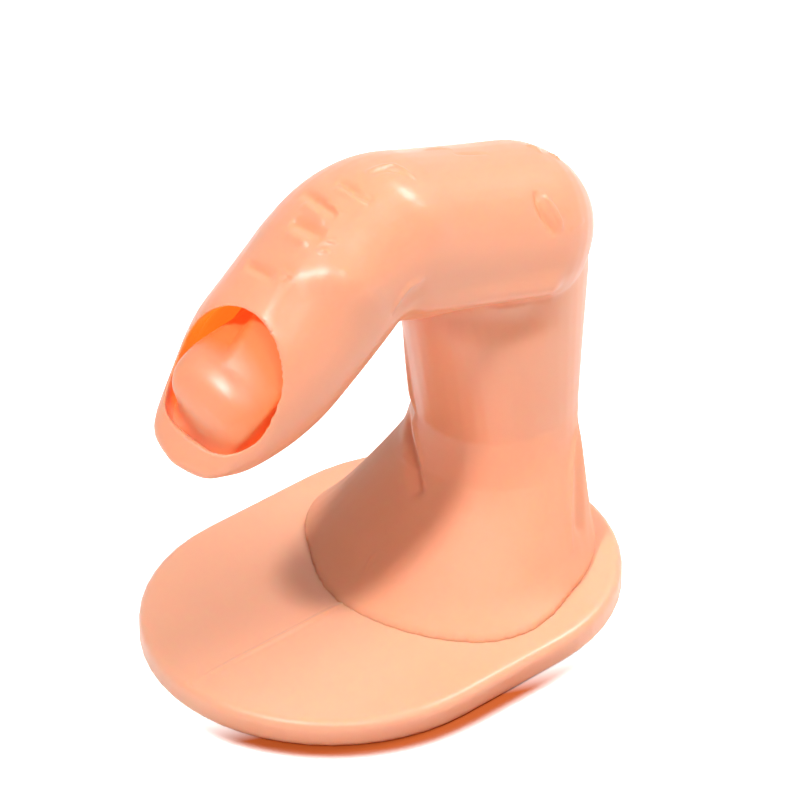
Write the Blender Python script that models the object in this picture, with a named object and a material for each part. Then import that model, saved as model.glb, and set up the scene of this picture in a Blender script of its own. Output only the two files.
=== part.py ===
"""A nail practice finger that stands on an obround base plate.

Metres, +Z up. The origin is the middle of the plate's underside. The finger
points to -Y in the plane X = 0, and its nail is rolled a little towards +X.
"""

import math

import bmesh
import bpy
from mathutils import Vector

# Fits and shared values
FIT_GAP = 0.0003
SECTION_SIDES = 40
SECTION_SQUARENESS = 2.15

# Base plate and its spigot
BASE_LENGTH = 0.0600
BASE_WIDTH = 0.0448
BASE_THICKNESS = 0.0032
BASE_TOP_ROUND = 0.0011
BASE_FOOT_ROUND = 0.0004
BASE_ROUND_STEPS = 4
BASE_END_STEPS = 26
SPIGOT_FOOT_RADIUS = 0.0068
SPIGOT_TOP_RADIUS = 0.0056
SPIGOT_HEIGHT = 0.0090

# Leg of the finger, with its flared foot
LEG_Y = 0.0174
ANKLE_HALF_WIDTH = 0.0092
ANKLE_FRONT_REACH = 0.0093
ANKLE_REAR_REACH = 0.0100
KNEE_HALF_WIDTH = 0.0085
KNEE_FRONT_REACH = 0.0125
KNEE_REAR_REACH = 0.0121
KNEE_HEIGHT = 0.0340
KNEE_STEPS = 5
KNEE_TOP_SHARES = (1.00, 0.965, 1.00)
FOOT_Y = 0.0075
FOOT_HALF_WIDTH = 0.0179
FOOT_FRONT_REACH = 0.0123
FOOT_REAR_REACH = 0.0208
FOOT_SQUARENESS = 2.0
FLARE_HEIGHT = 0.0172
FLARE_STEPS = 13
# Rows: height as a share of the flare, then what is left of the flare at the
# side, at the front, at the rear and in the place of the widest line.
FLARE_SHARES = (
    (0.00, 1.00, 1.00, 1.00, 1.00),
    (0.13, 0.78, 0.80, 0.62, 0.78),
    (0.30, 0.58, 0.54, 0.34, 0.55),
    (0.47, 0.40, 0.30, 0.14, 0.34),
    (0.58, 0.29, 0.17, 0.06, 0.22),
    (0.70, 0.17, 0.07, 0.01, 0.12),
    (0.83, 0.07, 0.04, 0.00, 0.08),
    (1.00, 0.00, 0.00, 0.00, 0.00),
)

# Middle phalanx, from the large knuckle to the small one
KNUCKLE_Y = 0.0193
KNUCKLE_Z = 0.0435
KNUCKLE_RADIUS = 0.0098
KNUCKLE_STEPS = 9
MIDDLE_LENGTH = 0.0245
MIDDLE_RISE = math.radians(19.5)
MIDDLE_RADIUS = 0.0094
MIDDLE_STEPS = 8
FOLD_PIVOT_DEPTH = 0.0095
FOLD_STEPS = 10

# Distal phalanx, from the small knuckle to the tip. Its axis curls upward.
DISTAL_LENGTH = 0.0314
DISTAL_DROP = math.radians(37.5)
DISTAL_CURL = math.radians(24.0)
DISTAL_HALF_WIDTH = 0.0091
DISTAL_HALF_DEPTH = 0.0091
DISTAL_STEPS = 22
NAIL_ROLL = math.radians(13.0)
NAIL_ROLL_SHARE = 0.40
# Rows: place as a share of the length, then half width, back, pad and widest
# line as shares of the half width and the half depth.
DISTAL_SHARES = (
    (0.00, 1.02, 1.02, 0.98, 0.00),
    (0.20, 1.01, 0.99, 0.99, 0.00),
    (0.40, 1.00, 0.97, 1.01, 0.00),
    (0.55, 0.99, 0.92, 1.01, -0.03),
    (0.66, 0.93, 0.78, 0.95, -0.10),
    (0.75, 0.85, 0.54, 0.86, -0.17),
    (0.85, 0.74, 0.21, 0.70, -0.24),
    (0.92, 0.61, -0.05, 0.55, -0.25),
    (0.97, 0.41, -0.18, 0.45, -0.30),
    (1.00, 0.00, -0.31, 0.31, -0.31),
)

# Window for the nail, an oval cut square to a plane that slopes to the tip
WINDOW_PLACE = 0.0154
WINDOW_RISE = 0.0088
WINDOW_SLOPE = math.radians(38.0)
WINDOW_LENGTH = 0.0157
WINDOW_HALF_WIDTH = 0.0069
WINDOW_REACH = 0.0200
WINDOW_SINK = 0.0022
WINDOW_BACK_SQUARENESS = 2.0
WINDOW_FRONT_SQUARENESS = 3.2

# Pocket below the window, round the nail bed
POCKET_BACK = 0.0118
POCKET_TIP_WALL = 0.0028
POCKET_HALF_WIDTH = 0.0074
POCKET_TOP = 0.0074
POCKET_FLOOR = 0.0052
POCKET_STEPS = 12
POCKET_NOSE_SHARE = 0.175

# Nail bed with the base round it, which fills the floor of the pocket, and its shank
BED_HALF_WIDTH = 0.0060
BED_TOP = 0.0048
BED_STEPS = 14
BED_NOSE_DEPTH = 0.0008
BED_LINE_SHARE = 0.3
# Rows: place as a share of the length, then half width, top and underside.
BED_SHARES = (
    (0.00, 0.69, 0.50, 1.00),
    (0.20, 0.80, 0.60, 1.00),
    (0.40, 0.90, 0.81, 1.00),
    (0.57, 0.98, 1.00, 1.00),
    (0.75, 0.98, 0.92, 0.99),
    (0.86, 0.84, 0.72, 0.96),
    (0.93, 0.66, 0.48, 0.90),
    (1.00, 0.00, -0.16, 0.14),
)
BED_BASE_DEPTH = 0.0012
BED_BASE_TOP_STEPS = 8
SHANK_RADIUS = 0.0031
SHANK_LENGTH = 0.0060
SHANK_SIDES = 24

# Stiffening core
CORE_RADIUS = 0.0020
CORE_SIDES = 16
CORE_BEND_RADIUS = 0.0070
CORE_BEND_STEPS = 7
CORE_SEAT_DEPTH = 0.0070
CORE_TIP_DEPTH = 0.0050

# Colours, roughness and metallic value of each material
VINYL_COLOUR = (0.871, 0.428, 0.262, 1.0)
PLATE_COLOUR = (0.888, 0.462, 0.275, 1.0)
BED_COLOUR = (0.880, 0.440, 0.270, 1.0)
CORE_COLOUR = (0.560, 0.540, 0.500, 1.0)
VINYL_ROUGHNESS = 0.38
CORE_ROUGHNESS = 0.50


def clear_scene():
    """Removes whatever the file opened with."""
    for old in list(bpy.data.objects):
        bpy.data.objects.remove(old, do_unlink=True)


def make_material(name, colour, roughness, metallic=0.0):
    """A plain Principled material."""
    made = bpy.data.materials.new(name)
    made.use_nodes = True
    shader = made.node_tree.nodes["Principled BSDF"]
    shader.inputs["Base Color"].default_value = colour
    shader.inputs["Roughness"].default_value = roughness
    shader.inputs["Metallic"].default_value = metallic
    made.diffuse_color = colour
    return made


def make_object(name, mesh_builder, material=None):
    """Turns a bmesh into an object. Without a material it is a helper."""
    mesh = bpy.data.meshes.new(name)
    bmesh.ops.recalc_face_normals(mesh_builder, faces=mesh_builder.faces[:])
    mesh_builder.to_mesh(mesh)
    mesh_builder.free()
    mesh.shade_smooth()
    made = bpy.data.objects.new(name, mesh)
    bpy.context.scene.collection.objects.link(made)
    if material:
        mesh.materials.append(material)
    else:
        made.hide_render = True
        made.display_type = "WIRE"
    return made


def combine(target, other, operation):
    """Adds a Boolean modifier that joins or cuts the target."""
    boolean = target.modifiers.new(other.name, "BOOLEAN")
    boolean.operation = operation
    boolean.solver = "EXACT"
    boolean.object = other


def power(value, exponent):
    """A signed power, for the corners of a superellipse."""
    return math.copysign(abs(value) ** exponent, value)


def mix(low, high, share):
    return low + (high - low) * share


def back_of(lean):
    """The unit vector out of the finger's back, leaning from +Z towards +Y."""
    return Vector((0.0, math.sin(lean), math.cos(lean)))


def along_of(lean):
    """The unit vector along the finger, a quarter turn from its back."""
    return Vector((0.0, -math.cos(lean), math.sin(lean)))


def rolled(lean, roll):
    """The finger's side and back directions, rolled about its axis towards +X."""
    side = Vector((math.cos(roll), 0.0, 0.0)) - back_of(lean) * math.sin(roll)
    return side, Vector((math.sin(roll), 0.0, 0.0)) + back_of(lean) * math.cos(roll)


def section(
    centre, lean, half_width, back, pad, widest=0.0, squareness=SECTION_SQUARENESS, roll=0.0
):
    """One closed cross-section, square to the finger's axis at its centre.

    The back and pad depths and the widest line are measured from the centre.
    """
    points = []
    side, out = rolled(lean, roll)
    exponent = 2.0 / squareness
    for step in range(SECTION_SIDES):
        turn = math.tau * step / SECTION_SIDES
        across = half_width * power(math.cos(turn), exponent)
        reach = back - widest if math.sin(turn) > 0.0 else pad + widest
        height = widest + reach * power(math.sin(turn), exponent)
        points.append(centre + side * across + out * height)
    return points


def circle(centre, lean, radius, sides):
    """A round section, square to the finger's axis."""
    turns = [math.tau * step / sides for step in range(sides)]
    out = back_of(lean)
    return [
        centre + Vector((radius * math.cos(turn), 0.0, 0.0)) + out * radius * math.sin(turn)
        for turn in turns
    ]


def loft(sections, start_point=None, end_point=None):
    """Skins a row of sections. An end closes to a point or with a flat face."""
    skin = bmesh.new()
    rings = [[skin.verts.new(point) for point in row] for row in sections]
    for near, far in zip(rings, rings[1:]):
        for step in range(len(near)):
            after = (step + 1) % len(near)
            skin.faces.new((near[step], near[after], far[after], far[step]))
    for ring, point in ((rings[0], start_point), (rings[-1], end_point)):
        if point is None:
            skin.faces.new(ring)
            continue
        pole = skin.verts.new(point)
        for step in range(len(ring)):
            skin.faces.new((ring[step], ring[(step + 1) % len(ring)], pole))
    return skin


def read_shares(rows, place, column):
    """Reads one column of a table of shares on a smooth curve."""
    last = len(rows) - 1
    at = 0
    while at < last - 1 and rows[at + 1][0] < place:
        at += 1

    def slope(row):
        low, high = max(row - 1, 0), min(row + 1, last)
        rise = rows[high][column] - rows[low][column]
        return rise / (rows[high][0] - rows[low][0])

    span = rows[at + 1][0] - rows[at][0]
    t = (place - rows[at][0]) / span
    start, end = rows[at][column], rows[at + 1][column]
    bend = span * (slope(at) * t * (1.0 - t) ** 2 - slope(at + 1) * t * t * (1.0 - t))
    return start + (end - start) * t * t * (3.0 - 2.0 * t) + bend


# Places that follow from the sizes
FOOT_Z = BASE_THICKNESS + FIT_GAP
SPIGOT_TOP = BASE_THICKNESS + SPIGOT_HEIGHT
LEVEL = math.pi / 2.0
KNUCKLE = Vector((0.0, KNUCKLE_Y, KNUCKLE_Z))
SMALL_KNUCKLE = KNUCKLE + along_of(MIDDLE_RISE) * MIDDLE_LENGTH
POCKET_FRONT = DISTAL_LENGTH - POCKET_TIP_WALL
BED_BACK = POCKET_BACK + FIT_GAP
BED_FRONT = POCKET_FRONT - FIT_GAP
SHANK_END = BED_BACK - SHANK_LENGTH
CORE_TIP = SHANK_END + CORE_TIP_DEPTH


def distal_lean(place):
    """The lean of the distal phalanx, which curls more and more to its tip."""
    return mix(-DISTAL_DROP, DISTAL_CURL - DISTAL_DROP, (place / DISTAL_LENGTH) ** 2)


def distal_point(place, height=0.0):
    """A point in the middle plane, along the distal axis and above it."""
    chord = along_of(distal_lean(place / math.sqrt(3.0))) * place
    return SMALL_KNUCKLE + chord + back_of(distal_lean(place)) * height


def distal_section(place, half_width, back, pad, widest=0.0, roll=NAIL_ROLL):
    """A cross-section at a place along the distal axis."""
    return section(
        distal_point(place), distal_lean(place), half_width, back, pad, widest, roll=roll)


def plate_skin():
    """The plate, with a large round at its top rim and a small one below."""
    end_radius = BASE_WIDTH / 2.0
    straight = BASE_LENGTH / 2.0 - end_radius
    turns = [math.pi * step / BASE_END_STEPS for step in range(BASE_END_STEPS + 1)]
    levels = []
    for step in range(BASE_ROUND_STEPS + 1):
        turn = math.pi / 2.0 * step / BASE_ROUND_STEPS
        height = BASE_FOOT_ROUND * (1.0 - math.cos(turn))
        levels.append((height, BASE_FOOT_ROUND * (1.0 - math.sin(turn))))
    for step in range(BASE_ROUND_STEPS + 1):
        turn = math.pi / 2.0 * step / BASE_ROUND_STEPS
        height = BASE_THICKNESS - BASE_TOP_ROUND * (1.0 - math.sin(turn))
        levels.append((height, BASE_TOP_ROUND * (1.0 - math.cos(turn))))
    rows = []
    for height, inset in levels:
        radius = end_radius - inset
        far_end = [Vector((radius * math.cos(t), straight + radius * math.sin(t), height)) for t in turns]
        rows.append(far_end + [Vector((-point.x, -point.y, point.z)) for point in far_end])
    return loft(rows)


def spigot_skin(clearance):
    """The spigot that stands in the foot, or its recess when given a clearance."""
    ends = (
        (BASE_THICKNESS / 2.0, SPIGOT_FOOT_RADIUS),
        (SPIGOT_TOP + clearance, SPIGOT_TOP_RADIUS),
    )
    return loft([
        circle(Vector((0.0, LEG_Y, height)), LEVEL, radius + clearance, SHANK_SIDES)
        for height, radius in ends
    ])


def leg_sections():
    """Level sections, from the foot's rim up into the large knuckle."""
    rows = []
    for step in range(FLARE_STEPS + 1):
        place = step / FLARE_STEPS
        side, front, rear, line = (read_shares(FLARE_SHARES, place, n) for n in (1, 2, 3, 4))
        y = mix(LEG_Y, FOOT_Y, line)
        front_edge = mix(LEG_Y - ANKLE_FRONT_REACH, FOOT_Y - FOOT_FRONT_REACH, front)
        rear_edge = mix(LEG_Y + ANKLE_REAR_REACH, FOOT_Y + FOOT_REAR_REACH, rear)
        half = mix(ANKLE_HALF_WIDTH, FOOT_HALF_WIDTH, side)
        centre = Vector((0.0, y, FOOT_Z + FLARE_HEIGHT * place))
        square = mix(SECTION_SQUARENESS, FOOT_SQUARENESS, side)
        rows.append(section(centre, LEVEL, half, rear_edge - y, y - front_edge, squareness=square))
    for step in range(1, KNEE_STEPS + 1):
        share = step / KNEE_STEPS
        centre = Vector((0.0, LEG_Y, FOOT_Z + mix(FLARE_HEIGHT, KNEE_HEIGHT, share)))
        half = mix(ANKLE_HALF_WIDTH, KNEE_HALF_WIDTH, share)
        front = mix(ANKLE_FRONT_REACH, KNEE_FRONT_REACH, share)
        rear = mix(ANKLE_REAR_REACH, KNEE_REAR_REACH, share)
        rows.append(section(centre, LEVEL, half, rear, front))
    reaches = (KNEE_HALF_WIDTH, KNEE_REAR_REACH, KNEE_FRONT_REACH)
    top = [reach * share for reach, share in zip(reaches, KNEE_TOP_SHARES)]
    rows.append(section(Vector((0.0, LEG_Y, KNUCKLE_Z)), LEVEL, *top))
    return rows


def upper_sections():
    """Sections from the back of the large knuckle to the tip."""
    rows = []
    along = along_of(MIDDLE_RISE)
    for step in range(1, KNUCKLE_STEPS):
        turn = math.pi / 2.0 * step / KNUCKLE_STEPS
        radius = KNUCKLE_RADIUS * math.sin(turn)
        centre = KNUCKLE - along * KNUCKLE_RADIUS * math.cos(turn)
        rows.append(section(centre, MIDDLE_RISE, radius, radius, radius))
    bend = MIDDLE_RISE + DISTAL_DROP
    fold_reach = FOLD_PIVOT_DEPTH * math.tan(bend / 2.0)
    for step in range(MIDDLE_STEPS):
        share = step / MIDDLE_STEPS
        radius = mix(KNUCKLE_RADIUS, MIDDLE_RADIUS, math.sin(share * math.pi / 2.0))
        centre = KNUCKLE + along * (MIDDLE_LENGTH - fold_reach) * share
        rows.append(section(centre, MIDDLE_RISE, radius, radius, radius))
    start = SMALL_KNUCKLE - along * fold_reach
    pivot = start - back_of(MIDDLE_RISE) * FOLD_PIVOT_DEPTH
    first = fold_reach / DISTAL_LENGTH
    for step in range(FOLD_STEPS):
        share = step / FOLD_STEPS
        lean = mix(MIDDLE_RISE, distal_lean(fold_reach), share)
        radius = mix(MIDDLE_RADIUS, DISTAL_HALF_DEPTH * read_shares(DISTAL_SHARES, first, 2), share)
        rows.append(section(pivot + back_of(lean) * FOLD_PIVOT_DEPTH, lean, radius, radius, radius))
    for step in range(DISTAL_STEPS):
        place = mix(first, 1.0, math.sin(math.pi / 2.0 * step / DISTAL_STEPS))
        wide, back, pad, line = (read_shares(DISTAL_SHARES, place, n) for n in (1, 2, 3, 4))
        rows.append(distal_section(
            place * DISTAL_LENGTH,
            DISTAL_HALF_WIDTH * wide,
            DISTAL_HALF_DEPTH * back,
            DISTAL_HALF_DEPTH * pad,
            DISTAL_HALF_DEPTH * line,
            NAIL_ROLL * min(1.0, (place - first) / NAIL_ROLL_SHARE),
        ))
    return rows


def window_cutter():
    """An oval prism through the back of the fingertip."""
    lean = distal_lean(WINDOW_PLACE)
    side, out = rolled(lean, NAIL_ROLL)
    down = along_of(lean) * math.cos(WINDOW_SLOPE) - out * math.sin(WINDOW_SLOPE)
    away = along_of(lean) * math.sin(WINDOW_SLOPE) + out * math.cos(WINDOW_SLOPE)
    half = WINDOW_LENGTH / 2.0
    middle = distal_point(WINDOW_PLACE) + out * WINDOW_RISE + down * half
    outline = []
    for step in range(SECTION_SIDES):
        turn = math.tau * step / SECTION_SIDES
        square = WINDOW_FRONT_SQUARENESS if math.sin(turn) > 0.0 else WINDOW_BACK_SQUARENESS
        across = WINDOW_HALF_WIDTH * power(math.cos(turn), 2.0 / square)
        outline.append(middle + side * across + down * half * power(math.sin(turn), 2.0 / square))
    return loft([[point + away * height for point in outline] for height in (-WINDOW_SINK, WINDOW_REACH)])


def pocket_fullness(place):
    """How much of its full section the pocket has, on its way to the nose."""
    share = (place - POCKET_BACK) / (POCKET_FRONT - POCKET_BACK)
    return (1.0 - share * share) ** POCKET_NOSE_SHARE


def pocket_cutter():
    """The hollow under the window, which runs back under the cuticle's edge."""
    rows = []
    for step in range(POCKET_STEPS):
        share = math.sin(math.pi / 2.0 * step / POCKET_STEPS)
        place = mix(POCKET_BACK, POCKET_FRONT, share)
        full = pocket_fullness(place)
        rows.append(distal_section(
            place, POCKET_HALF_WIDTH * full, POCKET_TOP * full, POCKET_FLOOR * full))
    return loft(rows, None, distal_point(POCKET_FRONT))


def bed_skin():
    """The nail bed, a rounded tongue with its nose at the fingertip."""
    rows = []
    for step in range(BED_STEPS):
        share = math.sin(math.pi / 2.0 * step / BED_STEPS)
        place = mix(BED_BACK, BED_FRONT, share)
        wide, top, low = (read_shares(BED_SHARES, share, n) for n in (1, 2, 3))
        floor = (POCKET_FLOOR * pocket_fullness(place) - FIT_GAP) * low
        rows.append(distal_section(
            place, BED_HALF_WIDTH * wide, BED_TOP * top, floor, BED_TOP * top * BED_LINE_SHARE))
    return loft(rows, None, distal_point(BED_FRONT, -BED_NOSE_DEPTH))


def bed_base_skin():
    """The base of the nail bed, a floor below the axis that follows the pocket."""
    rows = []
    for step in range(POCKET_STEPS):
        place = mix(BED_BACK, BED_FRONT, math.sin(math.pi / 2.0 * step / POCKET_STEPS))
        full = pocket_fullness(place)
        half, floor = POCKET_HALF_WIDTH * full - FIT_GAP, POCKET_FLOOR * full - FIT_GAP
        side, out = rolled(distal_lean(place), NAIL_ROLL)
        start = math.asin((BED_BASE_DEPTH / floor) ** (SECTION_SQUARENESS / 2.0))
        row = []
        for arc_step in range(SECTION_SIDES // 2 + 1):
            turn = mix(start, math.pi - start, 2.0 * arc_step / SECTION_SIDES)
            across = half * power(math.cos(turn), 2.0 / SECTION_SQUARENESS)
            depth = floor * power(math.sin(turn), 2.0 / SECTION_SQUARENESS)
            row.append(distal_point(place) + side * across - out * depth)
        for top_step in range(1, BED_BASE_TOP_STEPS):
            row.append(row[SECTION_SIDES // 2].lerp(row[0], top_step / BED_BASE_TOP_STEPS))
        rows.append(row)
    return loft(rows)


def distal_rod(start, end, radius, sides):
    """A round rod between two places along the distal axis."""
    return loft([
        circle(distal_point(place), distal_lean(place), radius, sides)
        for place in (start, end)
    ])


def core_skin(clearance):
    """The bent rod, or the channel round it when given a clearance."""
    knee = KNUCKLE + along_of(MIDDLE_RISE) * (KNUCKLE_Y - LEG_Y) / math.cos(MIDDLE_RISE)
    radius = CORE_RADIUS + clearance
    rows = []

    def bend(corner, lean_in, lean_out):
        reach = CORE_BEND_RADIUS * math.tan(abs(lean_in - lean_out) / 2.0)
        inward = math.copysign(CORE_BEND_RADIUS, lean_out - lean_in)
        pivot = corner - along_of(lean_in) * reach + back_of(lean_in) * inward
        for step in range(CORE_BEND_STEPS + 1):
            lean = mix(lean_in, lean_out, step / CORE_BEND_STEPS)
            rows.append(circle(pivot - back_of(lean) * inward, lean, radius, CORE_SIDES))

    seat = Vector((0.0, LEG_Y, SPIGOT_TOP - CORE_SEAT_DEPTH + FIT_GAP - clearance))
    rows.append(circle(seat, LEVEL, radius, CORE_SIDES))
    bend(knee, LEVEL, MIDDLE_RISE)
    bend(SMALL_KNUCKLE, MIDDLE_RISE, distal_lean(SHANK_END))
    tip = CORE_TIP - FIT_GAP + clearance
    rows.append(circle(distal_point(tip), distal_lean(tip), radius, CORE_SIDES))
    return loft(rows)


clear_scene()
vinyl = make_material("soft_vinyl", VINYL_COLOUR, VINYL_ROUGHNESS)
plate_vinyl = make_material("plate_vinyl", PLATE_COLOUR, VINYL_ROUGHNESS)
bed_vinyl = make_material("nail_bed_vinyl", BED_COLOUR, VINYL_ROUGHNESS)
core_plastic = make_material("core_plastic", CORE_COLOUR, CORE_ROUGHNESS)

# Helpers that are cut out or joined on
leg = make_object("leg_form", loft(leg_sections()))
window = make_object("window_form", window_cutter())
pocket = make_object("pocket_form", pocket_cutter())
recess = make_object("spigot_recess_form", spigot_skin(FIT_GAP))
channel = make_object("core_channel_form", core_skin(FIT_GAP))
bore = make_object("shank_bore_form", distal_rod(
    SHANK_END - FIT_GAP, BED_BACK, SHANK_RADIUS + FIT_GAP, SHANK_SIDES))
spigot = make_object("spigot_form", spigot_skin(0.0))
bed_base = make_object("nail_bed_base_form", bed_base_skin())
shank = make_object("shank_form", distal_rod(
    SHANK_END, BED_BACK + FIT_GAP, SHANK_RADIUS, SHANK_SIDES))

# Finger
finger = make_object(
    "finger_skin",
    loft(upper_sections(), KNUCKLE - along_of(MIDDLE_RISE) * KNUCKLE_RADIUS, distal_point(
        DISTAL_LENGTH, DISTAL_HALF_DEPTH * DISTAL_SHARES[-1][4])),
    vinyl,
)
combine(finger, leg, "UNION")
for cutter in (window, pocket, recess, channel, bore):
    combine(finger, cutter, "DIFFERENCE")

# Base plate
plate = make_object("base_plate", plate_skin(), plate_vinyl)
combine(plate, spigot, "UNION")
combine(plate, channel, "DIFFERENCE")

# Nail bed
bed = make_object("nail_bed", bed_skin(), bed_vinyl)
combine(bed, bed_base, "UNION")
combine(bed, shank, "UNION")
combine(bed, channel, "DIFFERENCE")

# Core
make_object("core", core_skin(0.0), core_plastic)
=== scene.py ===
import math

import bmesh
import bpy
import numpy as np
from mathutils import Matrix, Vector, noise


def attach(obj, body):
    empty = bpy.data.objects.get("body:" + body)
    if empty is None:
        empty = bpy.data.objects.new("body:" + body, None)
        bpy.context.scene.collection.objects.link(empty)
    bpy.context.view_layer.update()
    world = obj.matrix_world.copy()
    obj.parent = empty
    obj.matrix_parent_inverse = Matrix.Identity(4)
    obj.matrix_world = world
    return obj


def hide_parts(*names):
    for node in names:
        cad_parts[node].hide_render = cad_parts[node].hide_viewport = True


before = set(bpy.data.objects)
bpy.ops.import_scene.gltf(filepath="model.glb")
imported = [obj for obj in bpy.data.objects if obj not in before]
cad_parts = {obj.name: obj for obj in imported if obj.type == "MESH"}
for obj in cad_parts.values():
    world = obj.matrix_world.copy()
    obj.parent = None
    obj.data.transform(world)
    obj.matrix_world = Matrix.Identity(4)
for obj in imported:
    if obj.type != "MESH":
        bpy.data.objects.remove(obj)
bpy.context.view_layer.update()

# Base plate: an obround slab of moulded vinyl with a soft round at its top rim.
# It stands flat on the table, and a mould parting line crosses its front half.
# The finger's foot is bonded to it, round a spigot that can't be seen.
MM = 0.001
PLATE_MESH_DEPTH = 8
PLATE_ROUNDS = 16
PLATE_COLOUR = (0.930, 0.440, 0.270)
PLATE_DEEP_COLOUR = (0.900, 0.330, 0.160)
PLATE_ROUGHNESS = 0.36
# Rows in millimetres: height of the ridge or depth of the groove, its width, then its places.
PLATE_LINES = (
    (0.32, 0.30, ((0.35, -3.6, 3.2), (0.33, -8.0, 3.2), (0.36, -16.0, 3.2), (0.34, -24.0, 3.2),
                  (0.4, -29.6, 2.9))),
    (-0.24, 0.35, ((-0.3, -29.1, 3.1), (0.9, -29.3, 3.0))),
)
EVEN_MESH_SCALE = 0.99


def refined(node, name, depth):
    """A finer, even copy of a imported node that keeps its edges, to be smoothed and detailed."""
    piece = bpy.data.objects.new(name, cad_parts[node].data.copy())
    bpy.context.scene.collection.objects.link(piece)
    remesh = piece.modifiers.new("even_mesh", "REMESH")
    remesh.mode = "SHARP"
    remesh.octree_depth = depth
    remesh.scale = EVEN_MESH_SCALE
    remesh.use_remove_disconnected = False
    graph = bpy.context.evaluated_depsgraph_get()
    even = bpy.data.meshes.new_from_object(piece.evaluated_get(graph))
    piece.modifiers.clear()
    piece.data = even
    even.materials.clear()
    even.shade_smooth()
    return piece


def points_of(piece):
    """The places of the mesh's points, one row each."""
    points = np.empty(len(piece.data.vertices) * 3, np.float32)
    piece.data.vertices.foreach_get("co", points)
    return points.reshape(-1, 3).astype(float)


def normals_of(piece):
    """The directions in which the surface faces at the mesh's points."""
    normals = np.empty(len(piece.data.vertices) * 3, np.float32)
    piece.data.vertex_normals.foreach_get("vector", normals)
    return normals.reshape(-1, 3).astype(float)


def put_points(piece, points):
    """Moves the mesh's points to these places."""
    piece.data.vertices.foreach_set("co", points.astype(np.float32).ravel())
    piece.data.update()


# Shares of the way to the neighbours' middle: a pull in, and the push that follows it.
PULLS = (0.60, -0.57)


def smooth(piece, rounds, weight=1.0, keep_size=True):
    """Evens out the facets. Every second round pushes back, unless the size may shrink."""
    points = points_of(piece)
    ends = np.empty(len(piece.data.edges) * 2, np.int32)
    piece.data.edges.foreach_get("vertices", ends)
    near, far = ends.reshape(-1, 2).T
    count = np.bincount(near, minlength=len(points)) + np.bincount(far, minlength=len(points))
    weight = np.broadcast_to(weight, len(points))
    for step in range(rounds):
        pull = PULLS[step % 2] if keep_size else PULLS[0]
        for axis in range(3):
            column = points[:, axis]
            mean = np.bincount(near, column[far], len(points))
            mean += np.bincount(far, column[near], len(points))
            points[:, axis] = column + pull * weight * (mean / np.maximum(count, 1) - column)
    put_points(piece, points)


def ramp(values, start, length):
    """0 up to the start, 1 past the length, and an even slope between them."""
    return np.clip((values - start) / length, 0.0, 1.0)


def near_path(points, path):
    """How far each point is from a line of places, and how far along it, from 0 to 1."""
    steps = np.diff(path, axis=0)
    lengths = np.linalg.norm(steps, axis=1)
    before = np.concatenate(([0.0], np.cumsum(lengths)))
    away = np.full(len(points), np.inf)
    along = np.zeros(len(points))
    for start, step, length, passed in zip(path, steps, lengths, before):
        share = np.clip((points - start) @ step / length ** 2, 0.0, 1.0)
        apart = np.linalg.norm(points - start - share[:, None] * step, axis=1)
        closer = apart < away
        away[closer] = apart[closer]
        along[closer] = ((passed + share * length) / before[-1])[closer]
    return away, along


RIDGE_REACH = 3.0


def lines_raised(points, rows, fading_ends=True):
    """The height that ridges give to each point, and the depth that grooves take away."""
    total = np.zeros(len(points))
    for height, width, path in rows:
        path = np.array(path) * MM
        reach = RIDGE_REACH * width * MM
        close = np.all((points > path.min(0) - reach) & (points < path.max(0) + reach), axis=1)
        away, along = near_path(points[close], path)
        fade = np.sqrt(np.sin(np.pi * np.clip(along, 0.0, 1.0))) if fading_ends else 1.0
        total[close] += height * MM * fade * np.exp(-(away / (width * MM)) ** 2)
    return total


def store(piece, name, values):
    """Keeps a value per point of the mesh, for the material to read."""
    layer = piece.data.attributes.new(name, "FLOAT", "POINT")
    layer.data.foreach_set("value", np.clip(values, 0.0, 1.0).astype(np.float32))


# The clouds give patches about 11 mm wide, and the grain is too fine to see one by one.
CLOUD_SCALE = 90.0
CLOUD_DETAIL = 3.0
CLOUD_RANGE = (0.3, 0.7)
CLOUD_SPREAD = 0.06
COLOUR_SHARE = 0.3
MATTE_ROUGHNESS = 0.30
GRAIN_SCALE = 2600.0
GRAIN_DETAIL = 2.0
GRAIN_STRENGTH = 0.12
GRAIN_HEIGHT = 0.00004


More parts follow.
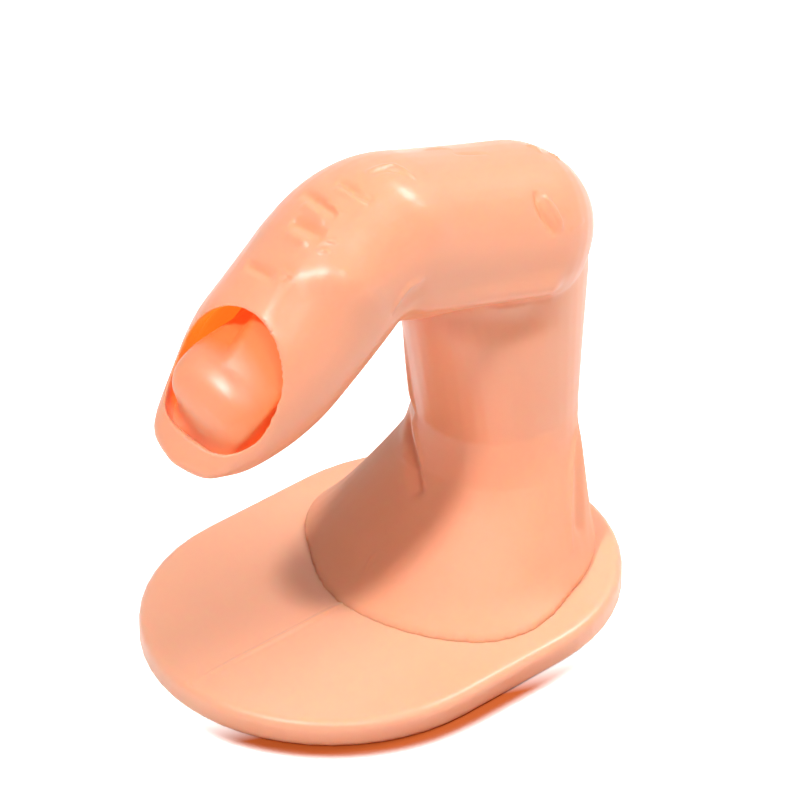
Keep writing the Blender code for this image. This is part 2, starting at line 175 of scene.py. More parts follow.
def vinyl_group():
    """Soft, slightly uneven vinyl: mottled colour, uneven gloss and fine grain, with painted shade and
    glow where a mask is given.
    """
    group = bpy.data.node_groups.new("moulded_vinyl", "ShaderNodeTree")
    sockets = group.interface
    for name, kind in (("Light", "NodeSocketColor"), ("Deep", "NodeSocketColor"),
                       ("Depth", "NodeSocketFloat"), ("Gloss", "NodeSocketFloat"),
                       ("Matte", "NodeSocketFloat")):
        sockets.new_socket(name, in_out="INPUT", socket_type=kind)
    for name, kind in (("Colour", "NodeSocketColor"), ("Roughness", "NodeSocketFloat"),
                       ("Height", "NodeSocketFloat"), ("Glow", "NodeSocketColor")):
        sockets.new_socket(name, in_out="OUTPUT", socket_type=kind)
    nodes, links = group.nodes, group.links
    given = nodes.new("NodeGroupInput")
    out = nodes.new("NodeGroupOutput")
    place = nodes.new("ShaderNodeTexCoord")
    cloud = nodes.new("ShaderNodeTexNoise")
    cloud.inputs["Scale"].default_value = CLOUD_SCALE
    cloud.inputs["Detail"].default_value = CLOUD_DETAIL
    grain = nodes.new("ShaderNodeTexNoise")
    grain.inputs["Scale"].default_value = GRAIN_SCALE
    grain.inputs["Detail"].default_value = GRAIN_DETAIL
    for texture in (cloud, grain):
        links.new(place.outputs["Object"], texture.inputs["Vector"])
    spread = nodes.new("ShaderNodeMapRange")
    spread.inputs["From Min"].default_value = CLOUD_RANGE[0]
    spread.inputs["From Max"].default_value = CLOUD_RANGE[1]
    spread.inputs["To Min"].default_value = -CLOUD_SPREAD
    spread.inputs["To Max"].default_value = CLOUD_SPREAD
    links.new(cloud.outputs["Fac"], spread.inputs["Value"])
    # The mask blends the colour towards the deep colour as painted shade, on top of the random mottle.
    depth = nodes.new("ShaderNodeMath")
    depth.operation = "MULTIPLY_ADD"
    depth.use_clamp = True
    links.new(spread.outputs["Result"], depth.inputs[0])
    depth.inputs[1].default_value = COLOUR_SHARE
    links.new(given.outputs["Depth"], depth.inputs[2])
    blend = nodes.new("ShaderNodeMix")
    blend.data_type = "RGBA"
    links.new(depth.outputs["Value"], blend.inputs["Factor"])
    links.new(given.outputs["Light"], blend.inputs["A"])
    links.new(given.outputs["Deep"], blend.inputs["B"])
    links.new(blend.outputs["Result"], out.inputs["Colour"])
    # Painted glow: the deep colour is given out as light, as much as the mask says.
    glow = nodes.new("ShaderNodeMix")
    glow.data_type = "RGBA"
    glow.inputs["A"].default_value = (0.0, 0.0, 0.0, 1.0)
    links.new(given.outputs["Depth"], glow.inputs["Factor"])
    links.new(given.outputs["Deep"], glow.inputs["B"])
    links.new(glow.outputs["Result"], out.inputs["Glow"])
    uneven = nodes.new("ShaderNodeMath")
    uneven.operation = "ADD"
    links.new(spread.outputs["Result"], uneven.inputs[0])
    links.new(given.outputs["Gloss"], uneven.inputs[1])
    duller = nodes.new("ShaderNodeMath")
    duller.operation = "MULTIPLY_ADD"
    duller.inputs[1].default_value = MATTE_ROUGHNESS
    links.new(given.outputs["Matte"], duller.inputs[0])
    links.new(uneven.outputs["Value"], duller.inputs[2])
    links.new(duller.outputs["Value"], out.inputs["Roughness"])
    links.new(grain.outputs["Fac"], out.inputs["Height"])
    return group


MOULDED_VINYL = vinyl_group()
VINYL_SUBSURFACE = 0.55
VINYL_SUBSURFACE_RADIUS = (1.0, 0.35, 0.15)
VINYL_SUBSURFACE_SCALE = 0.0016
VINYL_SPECULAR = 0.5


def vinyl_finish(name, light, deep, roughness, glow=0.0, layers=()):
    """Moulded vinyl with its own colours, warm where light passes through it, and with a painted glow
    where a mask asks for it.
    """
    made = bpy.data.materials.new(name)
    made.use_nodes = True
    nodes, links = made.node_tree.nodes, made.node_tree.links
    shader = nodes["Principled BSDF"]
    shader.inputs["Subsurface Weight"].default_value = VINYL_SUBSURFACE
    shader.inputs["Subsurface Radius"].default_value = VINYL_SUBSURFACE_RADIUS
    shader.inputs["Subsurface Scale"].default_value = VINYL_SUBSURFACE_SCALE
    shader.inputs["Specular IOR Level"].default_value = VINYL_SPECULAR
    vinyl = nodes.new("ShaderNodeGroup")
    vinyl.node_tree = MOULDED_VINYL
    vinyl.inputs["Light"].default_value = (*light, 1.0)
    vinyl.inputs["Deep"].default_value = (*deep, 1.0)
    vinyl.inputs["Gloss"].default_value = roughness
    for socket, layer_name in layers:
        layer = nodes.new("ShaderNodeAttribute")
        layer.attribute_name = layer_name
        links.new(layer.outputs["Fac"], vinyl.inputs[socket])
    if glow:
        links.new(vinyl.outputs["Glow"], shader.inputs["Emission Color"])
        shader.inputs["Emission Strength"].default_value = glow
    links.new(vinyl.outputs["Colour"], shader.inputs["Base Color"])
    links.new(vinyl.outputs["Roughness"], shader.inputs["Roughness"])
    bump = nodes.new("ShaderNodeBump")
    bump.inputs["Strength"].default_value = GRAIN_STRENGTH
    bump.inputs["Distance"].default_value = GRAIN_HEIGHT
    links.new(vinyl.outputs["Height"], bump.inputs["Height"])
    links.new(bump.outputs["Normal"], shader.inputs["Normal"])
    return made


plate = refined("base_plate", "plate_skin", PLATE_MESH_DEPTH)
smooth(plate, PLATE_ROUNDS)
points, normals = points_of(plate), normals_of(plate)
points += normals * lines_raised(points, PLATE_LINES)[:, None]
put_points(plate, points)
plate.data.materials.append(vinyl_finish(
    "plate_finish", PLATE_COLOUR, PLATE_DEEP_COLOUR, PLATE_ROUGHNESS))
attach(plate, "root")
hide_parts("base_plate")

# Finger: one soft vinyl skin moulded over the core, with a window for the nail.
# The knuckles carry shallow creases, and the parting line shows on the foot.
FINGER_MESH_DEPTH = 8
FINGER_ROUNDS = 90
FINGER_COLOUR = (0.930, 0.385, 0.220)
# The deep colour is the mottle's darker end and also the painted shade and glow in the hollow round
# the nail bed and in the creases; HOLLOW_GLOW is that painted glow's strength.
FINGER_MOTTLE_AND_PAINTED_SHADE_COLOUR = (0.960, 0.215, 0.018)
FINGER_ROUGHNESS = 0.34
HOLLOW_GLOW = 0.72
# Rows as above, from the window back: the cuticle crease, the small knuckle's creases, ticks
# and arc, short marks on the top, the crescent beside the large knuckle, the folds under the
# small knuckle and above the leg, and the ridges down the leg and over the foot.
FINGER_LINES = (
    (-0.45, 0.60, ((-3.2, -17.0, 52.5), (-1.9, -17.1, 52.8), (-0.4, -17.1, 52.9), (1.3, -17.1, 52.8))),
    (-0.55, 0.75, ((-1.5, -12.0, 56.6), (-0.1, -11.8, 56.8), (1.7, -11.6, 56.8), (3.2, -11.3, 56.6))),
    (0.22, 0.60, ((-0.9, -13.2, 55.9), (0.7, -13.0, 56.1), (2.4, -12.7, 56.0))),
    (0.20, 0.22, ((3.5, -11.4, 56.5), (3.8, -11.3, 56.4), (4.4, -10.9, 56.3), (4.8, -10.7, 56.2))),
    (0.20, 0.22, ((3.6, -12.7, 55.5), (3.9, -12.5, 55.5), (4.4, -12.0, 55.6), (4.8, -11.8, 55.5))),
    (-0.55, 0.65, ((-3.5, -8.3, 58.0), (-1.0, -8.7, 58.3), (1.0, -8.8, 58.3), (2.7, -8.8, 58.0))),
    (0.20, 0.55, ((-2.0, -9.7, 57.7), (0.2, -10.0, 57.7), (2.2, -9.9, 57.4))),
    (0.22, 0.22, ((0.2, -8.4, 58.5), (0.7, -8.4, 58.5), (1.6, -8.3, 58.5), (2.4, -8.5, 58.3),
                  (3.0, -8.8, 58.0))),
    (-0.42, 0.50, ((-1.0, -5.4, 59.3), (1.0, -5.4, 59.3), (2.6, -5.3, 59.1), (4.0, -4.9, 58.7))),
    (0.22, 0.40, ((-0.4, -6.5, 59.1), (0.8, -6.4, 59.1), (2.4, -6.2, 58.8), (4.0, -5.7, 58.3))),
    (0.24, 0.28, ((0.4, -2.9, 59.7), (0.5, -1.2, 59.8), (0.5, -0.1, 59.7), (0.8, 1.1, 59.5),
                  (2.1, 1.5, 59.3), (3.2, 1.7, 59.0), (3.8, 1.6, 58.8))),
    (-0.24, 0.40, ((1.3, -2.6, 59.6), (1.4, -0.6, 59.5), (2.2, 0.6, 59.3), (3.3, 0.8, 58.9))),
    (0.20, 0.28, ((-2.2, 8.3, 57.1), (-2.3, 10.9, 56.3), (-1.8, 12.2, 55.9))),
    (-0.20, 0.30, ((-0.1, 11.1, 56.4), (0.1, 13.2, 55.7), (0.4, 15.6, 54.9))),
    (0.28, 0.28, ((-0.6, 22.6, 52.7), (-0.2, 23.2, 52.4), (0.6, 23.2, 52.4), (1.4, 22.9, 52.4))),
    (0.28, 0.24, ((1.2, 24.4, 51.8), (1.8, 24.7, 51.5), (2.4, 25.2, 51.0))),
    (-0.60, 0.50, ((6.5, 17.3, 52.1), (7.5, 16.8, 51.2), (8.5, 16.9, 49.9), (9.1, 17.5, 48.5),
                   (9.4, 17.9, 47.2))),
    (0.40, 0.35, ((7.1, 18.3, 51.4), (8.2, 18.8, 49.8), (8.9, 19.1, 48.3), (9.3, 18.8, 47.3))),
    (0.14, 0.25, ((9.3, 20.3, 46.9), (9.0, 21.7, 46.9), (8.5, 23.1, 46.8))),
    (0.26, 0.40, ((9.0, -6.5, 47.3), (9.0, -5.9, 48.2), (9.1, -5.0, 49.2), (9.2, -3.9, 49.9),
                  (9.2, -2.0, 50.0))),
    (-0.55, 0.50, ((5.6, 3.0, 40.8), (7.1, 5.8, 40.8), (7.6, 10.1, 39.8), (8.3, 14.7, 38.8),
                   (8.4, 18.5, 38.0))),
    (0.42, 0.36, ((-3.6, 6.7, 33.0), (-3.9, 7.5, 28.6), (-4.3, 8.5, 23.9), (-3.9, 8.5, 19.5),
                  (-2.4, 7.9, 17.6), (-1.0, 7.1, 15.4), (0.6, 6.2, 13.8))),
    (0.20, 0.24, ((-5.0, 7.6, 14.7), (-3.5, 7.2, 14.6), (-2.2, 6.8, 14.4))),
    (0.24, 0.18, ((-0.5, -0.4, 7.3), (-0.5, -1.2, 6.6), (-0.2, -2.5, 5.5), (0.2, -3.6, 4.5))),
    (0.45, 0.42, ((7.1, 24.4, 18.1), (8.4, 22.6, 17.5), (9.3, 21.3, 16.5), (10.3, 20.1, 15.0),
                  (11.4, 18.9, 13.0), (12.4, 17.9, 11.2), (13.3, 17.2, 9.2), (14.4, 16.6, 6.8))),
)
# Wider forms: two swellings behind the window, the small knuckle's flank and the hollow under
# it, the soft underside, the leg's top below it, and the hollows beside the leg's two ridges.
FINGER_FORMS = (
    (0.70, 3.00, ((8.0, -11.6, 52.0), (8.4, -10.4, 52.2))),
    (0.30, 1.90, ((3.6, -15.1, 53.5), (5.2, -13.8, 53.7), (6.6, -12.3, 53.8))),
    (0.34, 2.10, ((1.6, -1.9, 59.7), (2.5, -1.6, 59.5), (4.4, -1.2, 58.9), (6.1, -0.7, 57.7),
                  (7.2, 0.2, 56.5), (7.9, 0.8, 55.3))),
    (-0.25, 0.90, ((9.0, -5.4, 46.7), (9.0, -4.7, 47.6), (9.1, -3.8, 48.4), (9.2, -2.4, 48.7))),
    (0.80, 1.60, ((8.9, -1.0, 45.0), (8.9, 3.0, 44.0), (8.9, 7.5, 43.2), (9.2, 12.6, 41.8),
                  (9.0, 17.0, 40.8))),
    (-1.30, 2.40, ((5.6, 5.0, 38.6), (7.1, 8.0, 38.0), (7.8, 12.0, 37.4), (8.1, 15.5, 36.8))),
    (-0.90, 0.90, ((-6.3, 9.2, 18.2), (-5.0, 8.4, 16.9), (-3.4, 7.7, 15.6), (-1.9, 6.9, 14.4),
                   (-0.4, 6.0, 13.2))),
    (-0.90, 1.20, ((7.6, 25.2, 17.4), (9.1, 23.6, 15.6), (10.6, 22.2, 13.4), (11.9, 21.0, 11.2),
                   (13.2, 19.9, 8.8))),
)
# Painted shade: the creases are painted a deeper colour than the skin beside them.
CREASE_PAINTED_SHADE = 0.10
CREASE_DEPTH = 0.0004
# The skin is duller along this line of places, in millimetres, and on the lower leg and foot.
DULL_PATH = ((4.9, -18.8, 50.0), (4.4, -17.7, 51.2), (4.2, -17.0, 51.8))
DULL_REACH = 1.9
DULL_STRENGTH = 1.6
MATTE_TOP = 0.0220
MATTE_FADE = 0.0080
# A small rough patch behind the cuticle crease, in millimetres.
PATCH_PLACE = (2.2, -16.2, 53.2)
PATCH_RADIUS = 1.6
PATCH_HEIGHT = 0.13
PATCH_FREQUENCY = 1700.0
# The foot's lowest edge reaches down to the plate, and a fillet widens it on the front right.
FOOT_EDGE = 0.0035
FOOT_SKIRT = 0.0004
FOOT_DROP = 0.00050
FOOT_ROUNDS = 6
FOOT_MIDDLE = (0.0, 0.0075)
FILLET_TOP = 0.0030
FILLET_REACH = 0.0024
FILLET_POWER = 3
FILLET_LEAST_FACING = -0.2
FILLET_SIDE = (0.55, -0.85)
FILLET_SIDE_SLOPE = 1.6
FILLET_SIDE_START = 0.3
# The axis of the fingertip, as the solid has it: it starts at the small knuckle and curls.
TIP_START = Vector((0.0, -0.00379, 0.05168))
TIP_LENGTH = 0.0314
TIP_DROP = math.radians(37.5)
TIP_CURL = math.radians(24.0)
TIP_ROLL = math.radians(13.0)
TIP_FIRST_PLACE = 0.010
TIP_STEPS = 24
# The window's rim lies about on a plane, and the skin turns inwards below it.
RIM_PLACE = (0.00089, -0.02361, 0.04275)
RIM_FACING = (0.177, -0.927, 0.329)
HOLLOW_RADIUS = 0.0088
HOLLOW_DEPTH = 0.0012
HOLLOW_FACING = 0.5
HOLLOW_FACING_SLOPE = 1.5
# The painted glow and shade of the hollow are weaker at its front and on its right.
FRONT_WALL_START = 0.0200
FRONT_WALL_LENGTH = 0.0040
FRONT_WALL_LESS = 0.45
RIGHT_WALL_START = -0.0010
RIGHT_WALL_REACH = 0.0025
RIGHT_WALL_LESS = 0.75
# The lip in front of the window is rounded.
LIP_START = 0.0180
LIP_FADE = 0.0040
LIP_REACH = 0.0012
LIP_ROUNDS = 14


def tip_frame(place):
    """The centre of the fingertip at a place along its axis, and its side and back directions."""
    lean = TIP_CURL * (place / TIP_LENGTH) ** 2 - TIP_DROP
    chord = TIP_CURL * (place / TIP_LENGTH) ** 2 / 3.0 - TIP_DROP
    centre = TIP_START + Vector((0.0, -math.cos(chord), math.sin(chord))) * place
    back = Vector((0.0, math.sin(lean), math.cos(lean)))
    side = Vector((math.cos(TIP_ROLL), 0.0, 0.0)) - back * math.sin(TIP_ROLL)
    return centre, side, Vector((math.sin(TIP_ROLL), 0.0, 0.0)) + back * math.cos(TIP_ROLL)


TIP_PLACES = np.linspace(TIP_FIRST_PLACE, TIP_LENGTH, TIP_STEPS)
TIP_FRAMES = np.array([tip_frame(place) for place in TIP_PLACES])


def tip_coordinates(points):
    """The place along the fingertip's axis, and the distances to its side and out of its back."""
    _, along = near_path(points, TIP_FRAMES[:, 0])
    steps = np.linalg.norm(np.diff(TIP_FRAMES[:, 0], axis=0), axis=1)
    passed = np.concatenate(([0.0], np.cumsum(steps)))
    place = np.interp(along * passed[-1], passed, TIP_PLACES)
    columns = TIP_FRAMES.reshape(-1, 9).T
    frames = np.stack([np.interp(place, TIP_PLACES, column) for column in columns], 1)
    outward = points - frames[:, 0:3]
    return place, (outward * frames[:, 3:6]).sum(1), (outward * frames[:, 6:9]).sum(1)


def below_rim(points):
    """How far each point lies below the plane of the window's rim."""
    return (np.array(RIM_PLACE) - points) @ np.array(RIM_FACING)


def hollow_depth(points, normals):
    """How deep each point lies in the pocket round the nail bed, from 0 to 1, as a mask for painted
    glow and shade.
    """
    away, along = near_path(points, TIP_FRAMES[:, 0])
    frames = np.linspace(0.0, 1.0, len(TIP_FRAMES))
    nearest = np.stack([np.interp(along, frames, TIP_FRAMES[:, 0, axis]) for axis in range(3)], 1)
    outward = points - nearest
    outward /= np.maximum(np.linalg.norm(outward, axis=1), MM)[:, None]
    facing = (outward * normals).sum(1)
    inside = np.clip(HOLLOW_FACING - HOLLOW_FACING_SLOPE * facing, 0.0, 1.0) * (away < HOLLOW_RADIUS)
    return inside * ramp(below_rim(points), 0.0, HOLLOW_DEPTH)


finger = refined("finger_skin", "finger_skin_moulded", FINGER_MESH_DEPTH)
smooth(finger, FINGER_ROUNDS)
points = points_of(finger)
place, across, _ = tip_coordinates(points)
at_lip = 1.0 - ramp(np.abs(below_rim(points)), 0.0, LIP_REACH)
at_lip *= ramp(place, LIP_START, LIP_FADE)
smooth(finger, LIP_ROUNDS, np.sqrt(at_lip), keep_size=False)
points, normals = points_of(finger), normals_of(finger)
raised = lines_raised(points, FINGER_LINES)
# Painted shade in the creases, as deep in colour as the groove is deep.
crease_painted_shade = CREASE_PAINTED_SHADE * ramp(-raised, 0.0, CREASE_DEPTH)
raised += lines_raised(points, FINGER_FORMS, fading_ends=False)
patch_away = np.linalg.norm(points - np.array(PATCH_PLACE) * MM, axis=1) / (PATCH_RADIUS * MM)
for at in np.flatnonzero(patch_away < 1.0):
    rough = noise.noise(Vector(points[at]) * PATCH_FREQUENCY)
    raised[at] += PATCH_HEIGHT * MM * rough * (1.0 - patch_away[at] ** 2)
# Painted glow and shade: the hollow round the nail bed is painted deep orange and made to glow.
painted_glow_and_shade = hollow_depth(points, normals)
painted_glow_and_shade *= 1.0 - FRONT_WALL_LESS * ramp(place, FRONT_WALL_START, FRONT_WALL_LENGTH)
painted_glow_and_shade *= 1.0 - RIGHT_WALL_LESS * ramp(across, RIGHT_WALL_START, RIGHT_WALL_REACH)
store(finger, "painted_glow_and_shade", np.maximum(painted_glow_and_shade, crease_painted_shade))
dull_away, _ = near_path(points, np.array(DULL_PATH) * MM)
dull = np.clip(DULL_STRENGTH * (1.0 - dull_away / (DULL_REACH * MM)), 0.0, 1.0)
store(finger, "matte", np.maximum(dull, ramp(points[:, 2], MATTE_TOP, -MATTE_FADE)))
points += normals * raised[:, None]
near_plate = 1.0 - ramp(points[:, 2], FOOT_EDGE, FILLET_TOP)
from_middle = points[:, :2] - FOOT_MIDDLE
from_middle /= np.maximum(np.linalg.norm(from_middle, axis=1), MM)[:, None]
facing_out = (normals[:, :2] * from_middle).sum(1) > FILLET_LEAST_FACING
front_right = np.clip(from_middle @ FILLET_SIDE * FILLET_SIDE_SLOPE - FILLET_SIDE_START, 0.0, 1.0)
fillet = near_plate ** FILLET_POWER * facing_out * front_right
points[:, :2] += from_middle * (FILLET_REACH * fillet)[:, None]
put_points(finger, points)
smooth(finger, FOOT_ROUNDS, near_plate, keep_size=False)
points = points_of(finger)
points[:, 2] -= FOOT_DROP * (1.0 - ramp(points[:, 2], FOOT_EDGE, FOOT_SKIRT))
put_points(finger, points)
finger.data.materials.append(vinyl_finish(
    "finger_finish", FINGER_COLOUR, FINGER_MOTTLE_AND_PAINTED_SHADE_COLOUR, FINGER_ROUGHNESS, HOLLOW_GLOW,
    (("Depth", "painted_glow_and_shade"), ("Matte", "matte"))))
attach(finger, "root")
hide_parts("finger_skin")

# Nail bed: a rounded tongue of the same vinyl in the window, for a practice nail to lie on.
# Its base fills the pocket's floor, and a short shank behind it is pressed into the finger.
BED_VOXEL = 0.00018
BED_ROUNDS = 70
BED_COLOUR = (0.940, 0.350, 0.185)
# The deep colour is the mottle's darker end and also the painted shade and glow in the valley round
# the tongue and on its right side; BED_GLOW is that painted glow's strength.
BED_MOTTLE_AND_PAINTED_SHADE_COLOUR = (0.920, 0.230, 0.060)
BED_ROUGHNESS = 0.34
BED_GLOW = 0.10
# The tongue's right side in millimetres: places along the fingertip, heights of the crest
# and heights where it meets the window's right edge.
FLANK_PLACES = (12.0, 16.0, 18.0, 20.0, 22.0, 24.0, 26.0, 28.2)
CREST_HEIGHTS = (5.8, 5.7, 5.3, 4.9, 4.7, 4.3, 3.0, -0.6)
EDGE_HEIGHTS = (2.4, 2.4, 2.4, 2.4, 1.7, 0.2, -1.6, -3.4)
FLANK_STEPS = 30
FLANK_SIDE_STEPS = 24
FLANK_LOW = -0.0015
FLANK_LEAST_THICKNESS = 0.0002
FLANK_LOW_WIDTH = 0.8
FLANK_HALF_WIDTH = 0.0070
FLANK_START_ACROSS = -0.0010
FLANK_CURVE = 2.2
LEFT_FALL_START = -0.0030
LEFT_FALL_WIDTH = 0.0040
POCKET_START = 0.0118
POCKET_LENGTH = 0.0168
POCKET_ROUNDING = 0.175
# The tongue's crest leans to the left by this much.
CREST_PLACE = 0.0220
CREST_SHIFT = 0.0022
CREST_HALF_WIDTH = 0.0062
CREST_RISE = 0.0030
# The base lies lower at the front, and the tongue's front stands back from the lip.
FRONT_FRAME_PLACE = 0.0260
BASE_LOWERED = 0.0010
BASE_PLACE = 0.0225
BASE_FADE = 0.0030
BASE_LOW = -0.0036
BASE_LOW_FADE = 0.0022
BASE_TOP = 0.0002
FRONT_PLACE = 0.0240
FRONT_LONGEST = 0.0050
FRONT_LOW = -0.0012
FRONT_PULL = 0.14
# Painted shade: the valley between the tongue and the window's rim is painted a deeper colour, and so
# is the tongue's right side.
VALLEY_ROUNDS = 30
VALLEY_LOW = -0.0020
VALLEY_RIM = -0.0004
VALLEY_DEPTH = 0.0020
RIGHT_START = 0.0015
RIGHT_REACH = 0.0050
RIGHT_PLACE = 0.0150
RIGHT_LENGTH = 0.0060
RIGHT_PAINTED_SHADE = 0.85
RIGHT_CURVE = 1.2


def right_flank():
    """The tongue's right side, which falls evenly from the crest to the window's edge."""
    made = bmesh.new()
    tops, lows = [], []
    for place in np.linspace(FLANK_PLACES[0] * MM, FLANK_PLACES[-1] * MM, FLANK_STEPS):
        centre, side, back = tip_frame(place)
        crest = np.interp(place / MM, FLANK_PLACES, CREST_HEIGHTS) * MM
        edge = np.interp(place / MM, FLANK_PLACES, EDGE_HEIGHTS) * MM
        past_start = (place - POCKET_START) / POCKET_LENGTH
        half = FLANK_HALF_WIDTH * (1.0 - past_start ** 2) ** POCKET_ROUNDING
        top_row, low_row = [], []
        for step in range(FLANK_SIDE_STEPS + 1):
            across = half * (2.0 * step / FLANK_SIDE_STEPS - 1.0)
            out = max((across - FLANK_START_ACROSS) / (FLANK_HALF_WIDTH - FLANK_START_ACROSS), 0.0)
            top = crest - (crest - edge) * out ** FLANK_CURVE
            left_fall = min(max((across - LEFT_FALL_START) / LEFT_FALL_WIDTH, 0.0), 1.0)
            top = FLANK_LOW + FLANK_LEAST_THICKNESS + left_fall * max(top - FLANK_LOW, 0.0)
            top_row.append(made.verts.new(centre + side * across + back * top))
            low_row.append(made.verts.new(centre + side * across * FLANK_LOW_WIDTH + back * FLANK_LOW))
        tops.append(top_row)
        lows.append(low_row)
    for top, next_top, low, next_low in zip(tops, tops[1:], lows, lows[1:]):
        for step in range(FLANK_SIDE_STEPS):
            made.faces.new((top[step], top[step + 1], next_top[step + 1], next_top[step]))
            made.faces.new((low[step + 1], low[step], next_low[step], next_low[step + 1]))
        made.faces.new((low[0], top[0], next_top[0], next_low[0]))
        made.faces.new((top[-1], low[-1], next_low[-1], next_top[-1]))
    for top, low in ((tops[0], lows[0]), (tops[-1][::-1], lows[-1][::-1])):
        for step in range(FLANK_SIDE_STEPS):
            made.faces.new((top[step + 1], top[step], low[step], low[step + 1]))
    bmesh.ops.recalc_face_normals(made, faces=made.faces[:])
    return made


bed = bpy.data.objects.new("nail_bed_tongue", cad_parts["nail_bed"].data.copy())
bpy.context.scene.collection.objects.link(bed)
joined = right_flank()
joined.from_mesh(bed.data)
joined.to_mesh(bed.data)
joined.free()
remesh = bed.modifiers.new("even_mesh", "REMESH")
remesh.mode = "VOXEL"
remesh.voxel_size = BED_VOXEL
even = bpy.data.meshes.new_from_object(bed.evaluated_get(bpy.context.evaluated_depsgraph_get()))
bed.modifiers.clear()
bed.data = even
even.materials.clear()
even.shade_smooth()
smooth(bed, BED_ROUNDS)
points = points_of(bed)
place, across, height = tip_coordinates(points)
_, crest_side, _ = tip_frame(CREST_PLACE)
arch = np.clip(1.0 - (across / CREST_HALF_WIDTH) ** 2, 0.0, 1.0) * ramp(height, 0.0, CREST_RISE)
points -= np.array(crest_side) * (CREST_SHIFT * arch)[:, None]
_, front_side, front_back = tip_frame(FRONT_FRAME_PLACE)
lowered = ramp(place, BASE_PLACE, BASE_FADE) * ramp(height, BASE_LOW, BASE_LOW_FADE)
lowered *= ramp(height, BASE_TOP, -MM)
points -= np.array(front_back) * (BASE_LOWERED * lowered)[:, None]
pulled = FRONT_PULL * np.clip(place - FRONT_PLACE, 0.0, FRONT_LONGEST) * ramp(height, FRONT_LOW, MM)
points -= np.cross(front_side, front_back) * pulled[:, None]
put_points(bed, points)
smooth(bed, VALLEY_ROUNDS, ramp(height, VALLEY_LOW, MM), keep_size=False)
points = points_of(bed)
place, across, _ = tip_coordinates(points)
# Painted shade and glow in the valley round the tongue and on its right side.
near_right = ramp(across, RIGHT_START, RIGHT_REACH) * ramp(place, RIGHT_PLACE, RIGHT_LENGTH)
deep = ramp(below_rim(points), VALLEY_RIM, VALLEY_DEPTH)
store(bed, "painted_bed_shade", 1.0 - (1.0 - deep) * (1.0 - RIGHT_PAINTED_SHADE * near_right ** RIGHT_CURVE))
bed.data.materials.append(vinyl_finish(
    "nail_bed_finish", BED_COLOUR, BED_MOTTLE_AND_PAINTED_SHADE_COLOUR, BED_ROUGHNESS, BED_GLOW,
    (("Depth", "painted_bed_shade"), ("Matte", "painted_bed_shade"))))
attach(bed, "root")
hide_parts("nail_bed")

# Core: a bent plastic rod that keeps the finger's shape from inside.
# It stands in the plate's spigot and ends in the shank of the nail bed.
CORE_COLOUR = (0.560, 0.540, 0.500)
CORE_DEEP_COLOUR = (0.450, 0.430, 0.400)
CORE_ROUGHNESS = 0.50

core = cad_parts["core"]
core.data.materials.clear()
core.data.materials.append(vinyl_finish("core_finish", CORE_COLOUR, CORE_DEEP_COLOUR, CORE_ROUGHNESS))

# Table: a plain white top that keeps the finger's shadow.
TABLE_HALF = 3.0
TABLE_COLOUR = (0.78, 0.78, 0.78)
TABLE_ROUGHNESS = 0.60
TABLE_SPECULAR = 0.2
TABLE_LIFT = 0.80
# A painted warm shadow on the table, close below the plate's front edge.
CONTACT_PAINTED_SHADOW_COLOUR = (0.42, 0.085, 0.015)
CONTACT_REACH = 0.0036
CONTACT_OPEN = 0.95
CONTACT_CLOSED = 0.80
CONTACT_SIDE = (0.95, -0.45, 0.0)
CONTACT_START = 0.0155
CONTACT_FULL = 0.022

table_mesh = bpy.data.meshes.new("table_top")
table_mesh.from_pydata(
    [(x * TABLE_HALF, y * TABLE_HALF, 0.0) for x, y in ((-1, -1), (1, -1), (1, 1), (-1, 1))],
    [], [(0, 1, 2, 3)])
table = bpy.data.objects.new("table_top", table_mesh)
bpy.context.scene.collection.objects.link(table)


def seen_directly(nodes, links):
    """1 for camera, glossy and transmission rays, else 0."""
    path = nodes.new("ShaderNodeLightPath")
    either = nodes.new("ShaderNodeMath")
    either.operation = "MAXIMUM"
    links.new(path.outputs["Is Camera Ray"], either.inputs[0])
    links.new(path.outputs["Is Glossy Ray"], either.inputs[1])
    both = nodes.new("ShaderNodeMath")
    both.operation = "MAXIMUM"
    links.new(either.outputs["Value"], both.inputs[0])
    links.new(path.outputs["Is Transmission Ray"], both.inputs[1])
    return both.outputs["Value"]


table_finish = bpy.data.materials.new("table_finish")
table_finish.use_nodes = True
nodes, links = table_finish.node_tree.nodes, table_finish.node_tree.links
shader = nodes["Principled BSDF"]
shader.inputs["Roughness"].default_value = TABLE_ROUGHNESS
shader.inputs["Specular IOR Level"].default_value = TABLE_SPECULAR
shader.inputs["Emission Color"].default_value = (1.0, 1.0, 1.0, 1.0)
lift = nodes.new("ShaderNodeMath")
lift.operation = "MULTIPLY"
lift.inputs[1].default_value = TABLE_LIFT
links.new(seen_directly(nodes, links), lift.inputs[0])
# Painted shadow: the table is painted warm and dark where it is hemmed in near the plate's front edge,
# and it loses its lift there.
shade = nodes.new("ShaderNodeAmbientOcclusion")
shade.inputs["Distance"].default_value = CONTACT_REACH
beside = nodes.new("ShaderNodeMapRange")
beside.inputs["From Min"].default_value = CONTACT_OPEN
beside.inputs["From Max"].default_value = CONTACT_CLOSED
links.new(shade.outputs["AO"], beside.inputs["Value"])
place = nodes.new("ShaderNodeTexCoord")
toward_front = nodes.new("ShaderNodeVectorMath")
toward_front.operation = "DOT_PRODUCT"
toward_front.inputs[1].default_value = CONTACT_SIDE
links.new(place.outputs["Object"], toward_front.inputs[0])
nearside = nodes.new("ShaderNodeMapRange")
nearside.inputs["From Min"].default_value = CONTACT_START
nearside.inputs["From Max"].default_value = CONTACT_FULL
links.new(toward_front.outputs["Value"], nearside.inputs["Value"])
painted_contact_shadow = nodes.new("ShaderNodeMath")
painted_contact_shadow.operation = "MULTIPLY"
links.new(beside.outputs["Result"], painted_contact_shadow.inputs[0])
links.new(nearside.outputs["Result"], painted_contact_shadow.inputs[1])
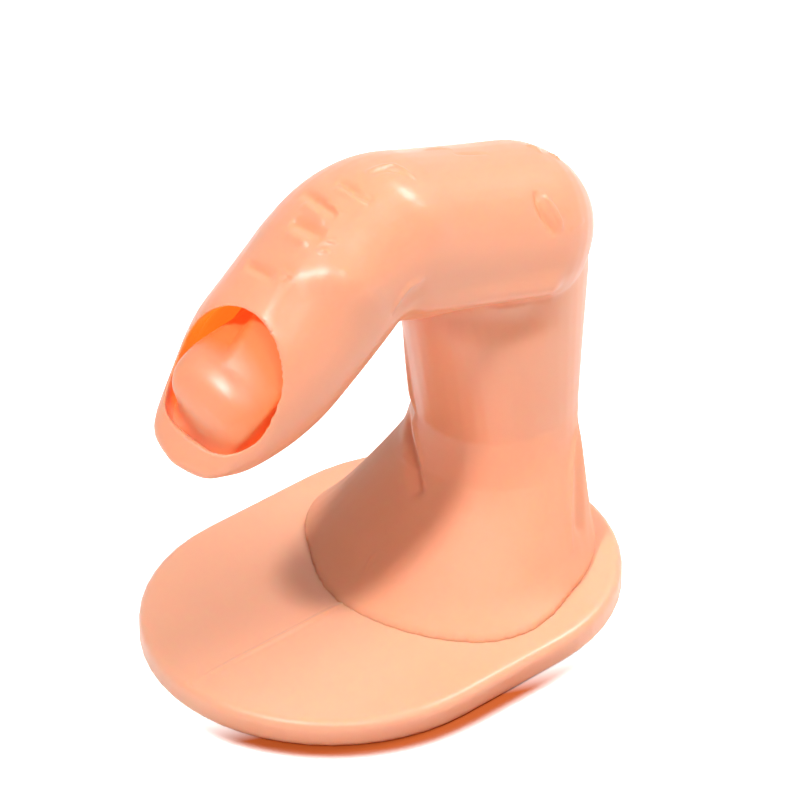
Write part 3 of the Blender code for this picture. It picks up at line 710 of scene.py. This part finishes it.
tone = nodes.new("ShaderNodeMix")
tone.data_type = "RGBA"
tone.inputs["A"].default_value = (*TABLE_COLOUR, 1.0)
tone.inputs["B"].default_value = (*CONTACT_PAINTED_SHADOW_COLOUR, 1.0)
links.new(painted_contact_shadow.outputs["Value"], tone.inputs["Factor"])
links.new(tone.outputs["Result"], shader.inputs["Base Color"])
lit = nodes.new("ShaderNodeMath")
lit.operation = "MULTIPLY_ADD"
lit.inputs[1].default_value = -1.0
lit.inputs[2].default_value = 1.0
links.new(painted_contact_shadow.outputs["Value"], lit.inputs[0])
kept = nodes.new("ShaderNodeMath")
kept.operation = "MULTIPLY"
links.new(lift.outputs["Value"], kept.inputs[0])
links.new(lit.outputs["Value"], kept.inputs[1])
links.new(kept.outputs["Value"], shader.inputs["Emission Strength"])
table_mesh.materials.append(table_finish)

# Light: faint and even from all round, with a small lamp above the front and two larger ones
# above the back and the right. The background is white only where the camera sees it.
ROOM_STRENGTH = 0.08
LAMP_AIM = (0.0, 0.0, 0.03)
# Rows: name, direction from the object, distance, diameter and power.
LAMPS = (
    ("front_lamp", (0.11, -0.57, 0.81), 1.0, 0.11, 6.4),
    ("back_lamp", (0.14, 0.60, 0.78), 1.0, 0.42, 7.0),
    ("side_lamp", (0.55, -0.22, 0.80), 1.2, 0.45, 4.0),
)

world = bpy.data.worlds.new("bright_room")
bpy.context.scene.world = world
world.use_nodes = True
nodes, links = world.node_tree.nodes, world.node_tree.links
background = nodes["Background"]
background.inputs["Color"].default_value = (1.0, 1.0, 1.0, 1.0)
level = nodes.new("ShaderNodeMapRange")
level.inputs["To Min"].default_value = ROOM_STRENGTH
level.inputs["To Max"].default_value = 1.0
links.new(seen_directly(nodes, links), level.inputs["Value"])
links.new(level.outputs["Result"], background.inputs["Strength"])

for name, direction, distance, diameter, power in LAMPS:
    lamp_data = bpy.data.lights.new(name, "AREA")
    lamp_data.shape = "DISK"
    lamp_data.size = diameter
    lamp_data.energy = power
    lamp = bpy.data.objects.new(name, lamp_data)
    toward = Vector(direction).normalized()
    lamp.location = Vector(LAMP_AIM) + toward * distance
    lamp.rotation_euler = (-toward).to_track_quat("-Z", "Y").to_euler()
    bpy.context.scene.collection.objects.link(lamp)

# Camera: from the front right and above, about 0.6 m away.
CAMERA_PLACE = (0.3841, -0.3450, 0.3747)
CAMERA_TILT = math.radians(56.15)
CAMERA_TURN = math.radians(47.84)
CAMERA_LENS = 246.67
CAMERA_SENSOR_WIDTH = 36.0
CAMERA_NEAREST = 0.05

camera_data = bpy.data.cameras.new("camera")
camera_data.sensor_width = CAMERA_SENSOR_WIDTH
camera_data.lens = CAMERA_LENS
camera_data.clip_start = CAMERA_NEAREST
camera = bpy.data.objects.new("camera", camera_data)
camera.location = CAMERA_PLACE
camera.rotation_euler = (CAMERA_TILT, 0.0, CAMERA_TURN)
bpy.context.scene.collection.objects.link(camera)
bpy.context.scene.camera = camera
bpy.context.scene.view_settings.view_transform = "Standard"
